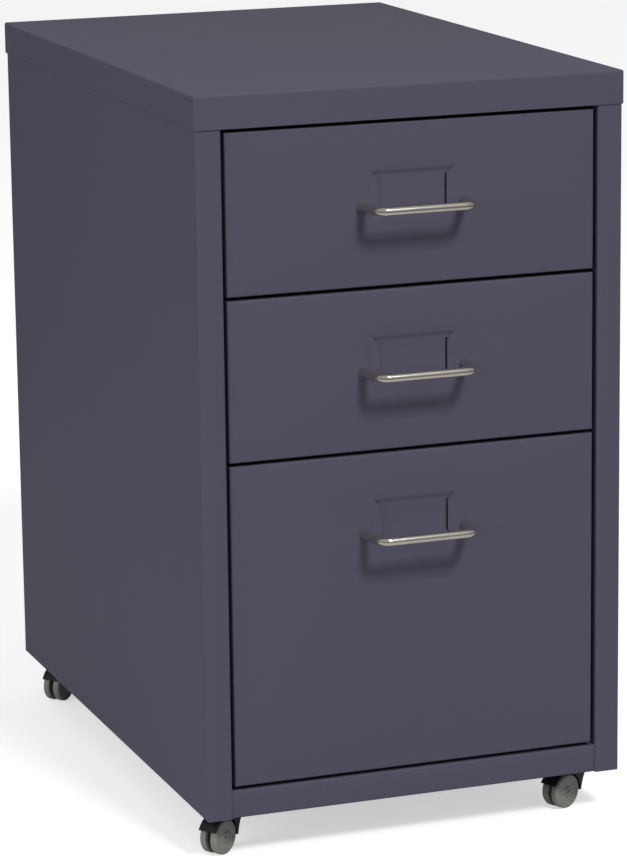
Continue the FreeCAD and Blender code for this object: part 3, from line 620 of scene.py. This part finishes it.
def patch_edge(grid):
    """The outer points of a (rows, columns, 3) grid as one ring, anticlockwise."""
    return np.concatenate([grid[0, :-1], grid[:-1, -1], grid[-1, :0:-1], grid[:0:-1, 0]])


def weld(parts):
    """Joins parts into one, merging points that lie in the same place to a hundredth of a mm."""
    points, faces = join(parts)
    places = np.round(points / (0.01 * MM)).astype(np.int64)
    _, first, where = np.unique(places, axis=0, return_index=True, return_inverse=True)
    where = where.reshape(-1)
    return points[first], [[int(where[i]) for i in face] for face in faces]


def drawer_front(n):
    """The pan of one front: label patch, face, bends, sides, flange, and the inside again."""
    low, high = fronts[n]
    label_top = high.z - LABEL_DROP
    label_low = label_top - LABEL_HEIGHT
    slot_lines = SLOT_EDGE + np.array([-0.4, 0, 0.15, 0.35, 0.5, 1.2]) * MM
    slot_ends = np.array([6.8, 7.2, 7.7, 8.2, 8.7]) * MM
    xs = np.sort(np.append(crowded(-LABEL_HALF, LABEL_HALF, FIELD_SLOPE, PATCH_MARGIN), slot_lines))
    zs = crowded(label_low, label_top, FIELD_RISE, PATCH_MARGIN)
    zs = np.sort(np.concatenate([zs, label_low + slot_ends, label_top - slot_ends]))
    gx, gz = np.meshgrid(xs, zs)
    depth = field_depth(gx, gz, label_low, label_top)
    outer = np.stack([gx, face_y + depth, gz], axis=-1)
    inner = np.stack([gx, face_y + depth + SHEET, gz], axis=-1)
    ring_x = patch_edge(outer)[:, 0] / xs[-1]
    middle_z = (zs[0] + zs[-1]) / 2
    ring_z = (patch_edge(outer)[:, 2] - middle_z) / (zs[-1] - middle_z)

    def ring(inset, y):
        """The pan's outline, moved in by inset, at y: the patch's edge stretched to fit."""
        x = ring_x * (high.x - inset)
        centre, half = (high.z + low.z) / 2, (high.z - low.z) / 2 - inset
        return np.stack([x, np.full_like(x, y), centre + ring_z * half], axis=1)

    angle = np.linspace(0, math.pi / 2, 7)
    bends = [ring(BEND * (1 - math.sin(a)), face_y + BEND * (1 - math.cos(a))) for a in angle]
    back = high.y
    rings = [patch_edge(outer), *bends, ring(0, back - BEND)]
    rings += [ring(BEND * (1 - math.cos(a)), back - BEND * (1 - math.sin(a))) for a in angle[1:]]
    rings += [ring(FRONT_FLANGE, back), ring(FRONT_FLANGE, back - SHEET)]
    rings += [ring(SHEET, back - SHEET), ring(SHEET, face_y + SHEET), patch_edge(inner)]
    shell = tube(np.stack(rings), ends=False)
    rows, columns = gx.shape
    face_patch = (outer.reshape(-1, 3), grid_faces(rows, columns, around=False))
    back_patch = (inner.reshape(-1, 3), grid_faces(rows, columns, around=False))
    flaps = [label_flap(side, label_low, label_top) for side in SIDES.values()]
    return [weld([shell, face_patch, back_patch]), *flaps]


def label_flap(side, low, high):
    """A flap in the face: a trapezoid plate, wide at the panel and narrow at the card."""
    outline = [
        (LABEL_HALF + 0.2 * MM, high),
        (LABEL_HALF - FLAP, high - FLAP),
        (LABEL_HALF - FLAP, low + FLAP),
        (LABEL_HALF + 0.2 * MM, low),
    ]
    centre = np.mean(outline, axis=0)
    edge = 0.2 * MM
    rings = []
    for shrink, y in ((edge, 0.0), (0.0, edge), (0.0, SHEET)):
        scale = 1 - shrink / (LABEL_HEIGHT / 2)
        points = centre + (np.array(outline) - centre) * scale
        rings.append([(side * a, face_y + y + 0.01 * MM, b) for a, b in points])
    return tube(np.array(rings))


for n in DRAWERS:
    body, node = f"drawer_{n}", f"drawer_{n}_front"
    make_piece(f"front_{n}", drawer_front(n), outer_coat, body, [node])


# %% [markdown]
# ## The pulls
# A bow pull is a rod bent twice. We carry a circle along its centre line: out of the face, round
# a bend, along the bar and back. The rod swells a little where each foot seats on the face.


# %% Bend the pulls
PULL_RADIUS = 4 * MM
PULL_BEND = 9 * MM
PULL_LEAN = 5 * MM


def pull_rod(n):
    """A circle of the rod's radius, in the plane across the path, at every point of the path."""
    low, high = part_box(f"drawer_{n}_pull")
    foot_x = high.x - PULL_RADIUS
    bar_y, level = low.y + PULL_RADIUS, (low.z + high.z) / 2
    bar_x = foot_x - PULL_LEAN
    corners = [(-foot_x, face_y), (-bar_x, bar_y), (bar_x, bar_y), (foot_x, face_y)]
    bent = rounded_line(corners, PULL_BEND, steps=14)
    legs = ((bent[0], bent[1]), (bent[-2], bent[-1]))
    runs = [np.linspace(start, end, 12, endpoint=False) for start, end in legs]
    path = np.concatenate([runs[0], bent[1:-2], runs[1], bent[-1:]])
    normal = line_normals(path)
    lift = (face_y - path[:, 1]) / (2 * MM)
    radius = PULL_RADIUS * (1 + 0.10 * np.exp(-lift * lift))
    turn = np.linspace(0, 2 * math.pi, 28, endpoint=False)
    rings = np.zeros((len(path), len(turn), 3))
    sideways = radius[:, None] * np.cos(turn)[None, :]
    rings[..., 0] = path[:, 0, None] + normal[:, 0, None] * sideways
    rings[..., 1] = path[:, 1, None] + normal[:, 1, None] * sideways
    rings[..., 2] = level + radius[:, None] * np.sin(turn)[None, :]
    return [tube(rings)]


for n in DRAWERS:
    make_piece(f"pull_{n}", pull_rod(n), nickel, f"drawer_{n}", [f"drawer_{n}_pull"])

# %% [markdown]
# ## The trays
# Behind each front is an open tray. Its sides and floor are one sheet folded into a U, and the
# top edges are hemmed: folded back on themselves, so that no cut edge meets a hand. The back
# wall is a second strip with its own hem, and the front wall a plate with two holes, through
# which a driver reaches the pull's screws.


# %% Fold the trays
HEM = 8 * MM
HEM_STEP = 1.1 * SHEET      # between the two layers of a hem
HEM_BEND = 0.49 * HEM_STEP
ACCESS_RADIUS = 6 * MM
PULL_SPACING = 96 * MM
PULL_DROP = 72 * MM


def tray_pan(n):
    """The U of sides and floor, drawn as the line hem, side, floor, side, hem."""
    low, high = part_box(f"drawer_{n}_tray")
    half = SHEET / 2
    wall, top, floor = high.x - half, high.z - half, low.z + half
    inner = wall - HEM_STEP
    right = [(wall, floor), (wall, top), (inner, top), (inner, high.z - HEM)]
    line = [(-x, z) for x, z in right[::-1]] + right
    return fold(line, SHEET, HEM_BEND, low.y + SHEET, high.y - 2 * HEM_STEP, "y")


def tray_back(n):
    """The back wall: a short foot on the floor, the wall, and its hem."""
    low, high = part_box(f"drawer_{n}_tray")
    half = SHEET / 2
    wall, top = high.y - half, high.z - half
    foot = high.y - 2 * HEM_STEP
    inner = wall - HEM_STEP
    line = [(foot, low.z + half), (wall, low.z + half), (wall, top)]
    line += [(inner, top), (inner, high.z - HEM)]
    return fold(line, SHEET, HEM_BEND, low.x, high.x, "x")


def holed_plate(x_near, x_far, z_low, z_high, hole_x, hole_z, y):
    """A plate with one round hole: each ray from the hole's centre runs to the plate's edge, at
    the distance where it meets the nearer of the two lines in its way."""
    corners = [(x - hole_x, z - hole_z) for x in (x_near, x_far) for z in (z_low, z_high)]
    angle = np.linspace(-math.pi, math.pi, 32, endpoint=False)
    angle = np.unique(np.append(angle, [math.atan2(z, x) for x, z in corners]))
    cos, sin = np.cos(angle), np.sin(angle)
    wide = np.where(cos > 0, max(x_near, x_far) - hole_x, hole_x - min(x_near, x_far))
    tall = np.where(sin > 0, z_high - hole_z, hole_z - z_low)
    reach = np.minimum(wide / np.maximum(np.abs(cos), 1e-9), tall / np.maximum(np.abs(sin), 1e-9))
    rings = []
    for radius, depth in ((ACCESS_RADIUS, 0), (reach, 0), (reach, SHEET), (ACCESS_RADIUS, SHEET)):
        flat = np.full_like(angle, y + depth)
        rings.append(np.stack([hole_x + radius * cos, flat, hole_z + radius * sin], axis=1))
    return ring_skin(np.stack(rings))


def tray_front(n):
    """The front wall in two halves, each with its access hole."""
    low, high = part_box(f"drawer_{n}_tray")
    level = fronts[n][1].z - PULL_DROP
    x = PULL_SPACING / 2
    return [holed_plate(0, s * high.x, low.z, high.z, s * x, level, low.y) for s in SIDES.values()]


def ring_skin(points):
    """A closed skin over rings that also join the last ring to the first."""
    closed = np.concatenate([points, points[:1]])
    rows, columns, _ = closed.shape
    faces = np.array(grid_faces(rows, columns)) % ((rows - 1) * columns)
    return points.reshape(-1, 3), faces.tolist()


for n in DRAWERS:
    parts = [tray_pan(n), tray_back(n), *tray_front(n)]
    make_piece(f"tray_{n}", parts, inner_coat, f"drawer_{n}", [f"drawer_{n}_tray"])


# %% [markdown]
# ## The slides
# A ball-bearing slide is two or three channels rolled from thicker, zinc-plated sheet. The outer
# one's flanges are lipped over the balls, and the inner one's lips turn the other way.


# %% Roll the slide channels
RAIL_SHEET = 1.2 * MM
RACE_LIP = 1.0 * MM
CHANNEL_BEND = 0.75 * MM


def slide_channel(n, name, kind):
    """One channel, its line running from lip to lip round the web. An outer channel's lips turn
    in towards the slide's axis, an inner one's turn away from it."""
    low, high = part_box(f"drawer_{n}_slide_{kind}_{name}")
    side = SIDES[name]
    half = RAIL_SHEET / 2
    middle, reach = (low.z + high.z) / 2, (high.z - low.z) / 2
    outward = max(abs(low.x), abs(high.x)) - half
    inward = min(abs(low.x), abs(high.x)) + half
    if kind == "outer":
        web, lip, flange, lip_end = outward, inward, reach - half, reach - RAIL_SHEET - RACE_LIP
    else:
        web, lip, lip_end = inward, outward, reach
        flange = reach - RACE_LIP - half
    up = [(web, flange), (lip, flange), (lip, lip_end)]
    line = [(u, -w) for u, w in up[::-1]] + up
    line = [(side * u, middle + w) for u, w in line]
    return fold(line, RAIL_SHEET, CHANNEL_BEND, low.y, high.y, "y")


for n in DRAWERS:
    for name in SIDES:
        for kind, body in (("outer", "carcass"), ("inner", f"drawer_{n}")):
            node = f"drawer_{n}_slide_{kind}_{name}"
            channel = [slide_channel(n, name, kind)]
            make_piece(f"rail_{n}_{kind}_{name}", channel, zinc, body, [node])


# %% [markdown]
# ## The casters
# A twin-wheel caster is three mouldings: a housing that swivels on its kingpin, and a wheel on
# each side of the web under it. The wheels trail behind the kingpin, so each caster gets its own
# frame: u runs from the kingpin to the axle, v along the axle, and z is height. The wheels are a
# profile turned about v. The housing is an outline in (u, z) given a width, a round cap, and
# the web, which is a thinner outline.


# %% Each caster's own frame
joint_of = {joint["name"]: joint for joint in frame["joints"]}


def caster_frame(corner):
    """The kingpin, the unit vectors u and v, and the trail, from the caster's two joints."""
    kingpin = np.array(joint_of[f"swivel_{corner}"]["pos_m"]) * (1, 1, 0)
    axle = np.array(joint_of[f"roll_{corner}"]["pos_m"])
    reach = (axle - kingpin) * (1, 1, 0)
    trail = np.linalg.norm(reach)
    along = reach / trail
    return kingpin, along, np.array([-along[1], along[0], 0]), trail, axle[2]


def stand(points, corner):
    """Moves (u, v, z) points, shaped (..., 3), to the caster's place."""
    kingpin, along, across, _, _ = caster_frame(corner)
    return kingpin + points[..., :1] * along + points[..., 1:2] * across + points[..., 2:] * (0, 0, 1)


_, _, _, TRAIL, WHEEL_RADIUS = caster_frame("front_left")
print("wheels", round(2 * WHEEL_RADIUS / MM, 1), "mm across, trailing", round(TRAIL / MM, 1))

# %% Turn the wheels
WEB = 4 * MM
WHEEL_GAP, WHEEL_WIDTH = 0.4 * MM, 6.8 * MM
WHEEL_INNER = WEB / 2 + WHEEL_GAP
WHEEL_OUTER = WHEEL_INNER + WHEEL_WIDTH
AXLE_BORE = 2.05 * MM


def arc(centre, radius, start, end, steps):
    """Points on a circle about the centre, from one angle in degrees to another."""
    angle = np.radians(np.linspace(start, end, steps + 1))[:, None]
    return np.asarray(centre) + radius * np.hstack([np.cos(angle), np.sin(angle)])


def wheel_profile():
    """(radius, v) round the section: hub, inside of the rim, crowned tread, and the disc, which
    is sunk 0.7 mm between the rim and the hub's boss."""
    inner, outer, radius = WHEEL_INNER, WHEEL_OUTER, WHEEL_RADIUS
    rim, boss = radius - 4 * MM, AXLE_BORE + 2.6 * MM
    sunk, crown, edge = outer - 0.7 * MM, 2 * MM, 0.7 * MM
    return np.concatenate(
        [
            [(AXLE_BORE, inner), (boss, inner), (boss, outer - 2.4 * MM)],
            [(rim, outer - 2.4 * MM), (rim, inner)],
            arc((radius - edge, inner + edge), edge, -90, 0, 4),
            arc((radius - crown, outer - crown), crown, 0, 90, 8),
            arc((rim + 0.6 * MM, outer - 0.3 * MM), 0.3 * MM, 90, 180, 3),
            arc((rim - 0.6 * MM, sunk + 0.6 * MM), 0.6 * MM, 0, -90, 3),
            arc((boss + 0.6 * MM, sunk + 0.6 * MM), 0.6 * MM, -90, -180, 3),
            arc((boss - 0.4 * MM, outer - 0.4 * MM), 0.4 * MM, 0, 90, 3),
            [(AXLE_BORE + 0.2 * MM, outer), (AXLE_BORE, outer - 0.2 * MM)],
        ]
    )


def turned(profile, steps, axes, centre=(0, 0)):
    """A profile of (radius, length) turned about a line. axes are the two axes across that
    line and the one along it, and centre is where the line stands on the first two."""
    across, up, along = axes
    angle = np.linspace(0, 2 * math.pi, steps, endpoint=False)[:, None]
    radius, length = profile[None, :, 0], profile[None, :, 1]
    points = np.zeros((steps, len(profile), 3))
    points[..., across] = centre[0] + np.cos(angle) * radius
    points[..., up] = centre[1] + np.sin(angle) * radius
    points[..., along] = length
    return points


for corner in CORNERS:
    pair = []
    for side in SIDES.values():
        wheel = turned(wheel_profile() * (1, side), 72, (0, 2, 1), (TRAIL, WHEEL_RADIUS))
        pair.append(ring_skin(stand(wheel, corner)))
    body, node = f"wheels_{corner}", f"caster_wheels_{corner}"
    make_piece(body, pair, grey_nylon, body, [node])

# %% Mould the housings
HOOD_INNER = WHEEL_RADIUS + 1.3 * MM
HOOD_OUTER = HOOD_INNER + 2 * MM
CAP_LOW = WHEEL_RADIUS + HOOD_OUTER
CAP_HIGH = CAP_LOW + 13.2 * MM
CAP_RADIUS = 19 * MM
HOOD_END, NOSE_END = 24.5 * MM, 13.5 * MM
PIN_BORE = 4.05 * MM


def hood_outline():
    """(u, z) of the hook over the wheels: over the hood, along under the cap, down the hollow
    nose as a quadratic curve, and back inside the hood."""
    centre = (TRAIL, WHEEL_RADIUS)
    rear_out = math.degrees(math.asin((HOOD_END - WHEEL_RADIUS) / HOOD_OUTER))
    rear_in = math.degrees(math.asin((HOOD_END - WHEEL_RADIUS) / HOOD_INNER))
    nose_in = 180 + math.degrees(math.asin((WHEEL_RADIUS - NOSE_END) / HOOD_INNER))
    t = np.linspace(0, 1, 12)[:, None]
    start = np.array([-(CAP_RADIUS - 1.5 * MM), CAP_LOW - 0.6 * MM])
    end = np.array([TRAIL - HOOD_OUTER, NOSE_END])
    pull = np.array([-9.5 * MM, CAP_LOW - 5 * MM])
    nose = start * (1 - t) ** 2 + 2 * pull * t * (1 - t) + end * t**2
    top = [(TRAIL, CAP_LOW + MM), (start[0], CAP_LOW + MM)]
    return np.concatenate(
        [
            arc(centre, HOOD_OUTER, rear_out, 84, 14),
            top,
            nose,
            arc(centre, HOOD_INNER, nose_in, rear_in, 30),
        ]
    )


def web_outline():
    """(u, z) of the plate between the wheels, with a foot round the axle."""
    r = WHEEL_RADIUS
    corners = [
        (TRAIL - HOOD_INNER - MM, NOSE_END + MM),
        (TRAIL - 6 * MM, r - 5 * MM),
        (TRAIL, r - 7 * MM),
        (TRAIL + 6 * MM, r - 3 * MM),
        (TRAIL + 7 * MM, r + 3 * MM),
        (TRAIL + 4 * MM, r + HOOD_INNER + 0.5 * MM),
        (TRAIL - HOOD_INNER - 0.5 * MM, r + 4 * MM),
    ]
    middle = [np.add(corners[0], corners[-1]) / 2]
    return rounded_line(middle + corners + middle, 1.2 * MM, 4)[:-1]


def slab(outline, half_width, edge):
    """An outline of (u, z) given a width along v, its two rims broken by edge."""
    after, before = np.roll(outline, -1, axis=0), np.roll(outline, 1, axis=0)
    ahead = (after - outline) / np.linalg.norm(after - outline, axis=1, keepdims=True)
    behind = (outline - before) / np.linalg.norm(outline - before, axis=1, keepdims=True)
    mean = ahead + behind
    mean /= np.linalg.norm(mean, axis=1, keepdims=True)
    area = np.sum(outline[:, 0] * after[:, 1] - after[:, 0] * outline[:, 1])
    inward = np.sign(area) * np.stack([-mean[:, 1], mean[:, 0]], axis=1)
    steps = ((edge, -half_width), (0, edge - half_width), (0, half_width - edge), (edge, half_width))
    rings = [np.insert(outline + inward * inset, 1, v, axis=1) for inset, v in steps]
    return np.stack(rings)


def cap_profile():
    """(radius, z) of the round cap: a bore for the kingpin, and a rim with soft edges."""
    edge = 1.2 * MM
    return np.concatenate(
        [
            [(PIN_BORE, CAP_LOW), (CAP_RADIUS - edge, CAP_LOW)],
            arc((CAP_RADIUS - edge, CAP_LOW + edge), edge, -90, 0, 4),
            arc((CAP_RADIUS - edge, CAP_HIGH - edge), edge, 0, 90, 4),
            [(PIN_BORE, CAP_HIGH)],
        ]
    )


for corner in CORNERS:
    parts = [
        ring_skin(stand(turned(cap_profile(), 64, (0, 1, 2)), corner)),
        tube(stand(slab(hood_outline(), WHEEL_OUTER, 0.6 * MM), corner)),
        tube(stand(slab(web_outline(), WEB / 2, 0.3 * MM), corner)),
    ]
    body, node = f"swivel_{corner}", f"caster_housing_{corner}"
    make_piece(f"housing_{corner}", parts, black_nylon, body, [node])

# %% [markdown]
# ## The camera, the floor and the light
# A catalogue picture is taken with a long lens from a few metres away, which keeps upright edges
# almost parallel. The floor and the background are white for the camera. As light they are
# graded, since a metal rod in an evenly white room would look like a flat grey strip.


# %% Stand the camera, the floor and the lamps
CAMERA = dict(azimuth=-20.10, elevation=12.92, roll=-0.72, lens=156.49)
CAMERA_PLACE = Vector((-1.1826, -3.2492, 1.1156))
FLOOR_REACH = 30
FLOOR_GLOW = 0.55       # what whitens the floor for the camera alone
SKY_LOW, SKY_HIGH = 0.10, 0.55     # the background brightens between these heights


def make_camera():
    """A long lens at the given angles: back is the direction from the object to the camera."""
    a, e, r = (math.radians(CAMERA[k]) for k in ("azimuth", "elevation", "roll"))
    back = Vector((math.sin(a) * math.cos(e), -math.cos(a) * math.cos(e), math.sin(e)))
    right = Vector((0, 0, 1)).cross(back).normalized()
    up = back.cross(right)
    rolled_right = right * math.cos(r) + up * math.sin(r)
    rolled_up = up * math.cos(r) - right * math.sin(r)
    turn = Matrix((rolled_right, rolled_up, back)).transposed()
    camera = bpy.data.objects.new("camera", bpy.data.cameras.new("camera"))
    camera.data.lens = CAMERA["lens"]
    camera.data.sensor_width = 36
    camera.matrix_world = Matrix.Translation(CAMERA_PLACE) @ turn.to_4x4()
    bpy.context.scene.collection.objects.link(camera)
    bpy.context.scene.camera = camera


make_camera()


def make_floor():
    """A pale floor. What the object mirrors of it is a sheet of white paper a metre or so
    round it, on a darker studio floor."""
    material, shader = new_material("pale_floor", Roughness=0.75, Specular_IOR_Level=0.2)
    tree = material.node_tree
    place = add_node(tree, "ShaderNodeTexCoord", (-1100, 0))
    reach = add_node(tree, "ShaderNodeVectorMath", (-900, 0), operation="LENGTH")
    edge = add_node(tree, "ShaderNodeMapRange", (-700, 0), interpolation_type="SMOOTHSTEP")
    for socket, number in (("From Min", 0.9), ("From Max", 1.7), ("To Min", 0.60), ("To Max", 0.20)):
        edge.inputs[socket].default_value = number
    seen = add_node(tree, "ShaderNodeLightPath", (-700, 300))
    tone = add_node(tree, "ShaderNodeMix", (-400, 0), data_type="RGBA")
    tone.inputs["B"].default_value = (0.95, 0.95, 0.95, 1)
    wire(tree, place, "Object", reach, 0)
    wire(tree, reach, "Value", edge, "Value")
    wire(tree, edge, "Result", tone, "A")
    wire(tree, seen, "Is Camera Ray", tone, "Factor")
    wire(tree, tone, "Result", shader, "Base Color")
    lift = add_node(tree, "ShaderNodeMath", (-400, -300), operation="MULTIPLY")
    lift.inputs[1].default_value = FLOOR_GLOW
    wire(tree, seen, "Is Camera Ray", lift, 0)
    wire(tree, lift, "Value", shader, "Emission Strength")
    shader.inputs["Emission Color"].default_value = (1, 1, 1, 1)
    mesh = bpy.data.meshes.new("floor")
    corners = [(x * FLOOR_REACH, y * FLOOR_REACH, 0) for x, y in ((-1, -1), (1, -1), (1, 1), (-1, 1))]
    mesh.from_pydata(corners, [], [(0, 1, 2, 3)])
    mesh.materials.append(material)
    floor = bpy.data.objects.new("floor", mesh)
    bpy.context.scene.collection.objects.link(floor)


make_floor()


def make_light(name, place, target, size, power):
    """A square area light that faces its target."""
    light = bpy.data.lights.new(name, "AREA")
    light.energy, light.size = power, size
    lamp = bpy.data.objects.new(name, light)
    lamp.location = place
    lamp.rotation_euler = (Vector(target) - Vector(place)).to_track_quat("-Z", "Y").to_euler()
    bpy.context.scene.collection.objects.link(lamp)
    return lamp


def make_studio(overhead, horizon):
    """A white background for the camera. As light it is a tent, brighter overhead than near
    the horizon, so polished metal shows a bright, a dark and a bright band."""
    world = bpy.data.worlds.new("studio")
    world.use_nodes = True
    tree = world.node_tree
    tent = tree.nodes["Background"]
    white = add_node(tree, "ShaderNodeBackground", (-200, -200), Color=(1, 1, 1, 1), Strength=1.0)
    seen = add_node(tree, "ShaderNodeLightPath", (-200, 400))
    place = add_node(tree, "ShaderNodeTexCoord", (-1000, 100))
    split = add_node(tree, "ShaderNodeSeparateXYZ", (-800, 100))
    rise = add_node(tree, "ShaderNodeMapRange", (-600, 100), interpolation_type="SMOOTHSTEP")
    ends = (("From Min", SKY_LOW), ("From Max", SKY_HIGH), ("To Min", horizon), ("To Max", overhead))
    for socket, number in ends:
        rise.inputs[socket].default_value = number
    wire(tree, place, "Generated", split, "Vector")
    wire(tree, split, "Z", rise, "Value")
    wire(tree, rise, "Result", tent, "Strength")
    tent.inputs["Color"].default_value = (1, 1, 1, 1)
    choose = add_node(tree, "ShaderNodeMixShader", (100, 200))
    wire(tree, seen, "Is Camera Ray", choose, "Fac")
    tree.links.new(tent.outputs[0], choose.inputs[1])
    tree.links.new(white.outputs[0], choose.inputs[2])
    tree.links.new(choose.outputs[0], tree.nodes["World Output"].inputs["Surface"])
    bpy.context.scene.world = world


make_light("key", (0.45, -3.0, 3.2), (0, 0, 0.4), 0.75, 78)
fill = make_light("left_fill", (-3.2, -0.9, 1.5), (0, 0, 0.35), 2.0, 38)
fill.visible_glossy = False
make_studio(overhead=0.36, horizon=0.25)
bpy.context.scene.view_settings.view_transform = "Standard"

# %% [markdown]
# ## The parts carried over
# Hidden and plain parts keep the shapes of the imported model. They only need their finishes:
# powder coat on the carcass, zinc on the small steel parts, and bare steel on the balls.


# %% Give the carried-over parts their finishes
def finish_nodes(material, *endings):
    """Puts the material on every node whose name contains one of the endings."""
    for name, node in frame["nodes"].items():
        if any(part in name for part in endings):
            node.data.materials.clear()
            node.data.materials.append(material)


finish_nodes(outer_coat, "back_panel", "base_pan", "upright")
finish_nodes(zinc, "slide_middle", "screws", "caster_plate", "caster_axle")
finish_nodes(ball_steel, "ball_cages")
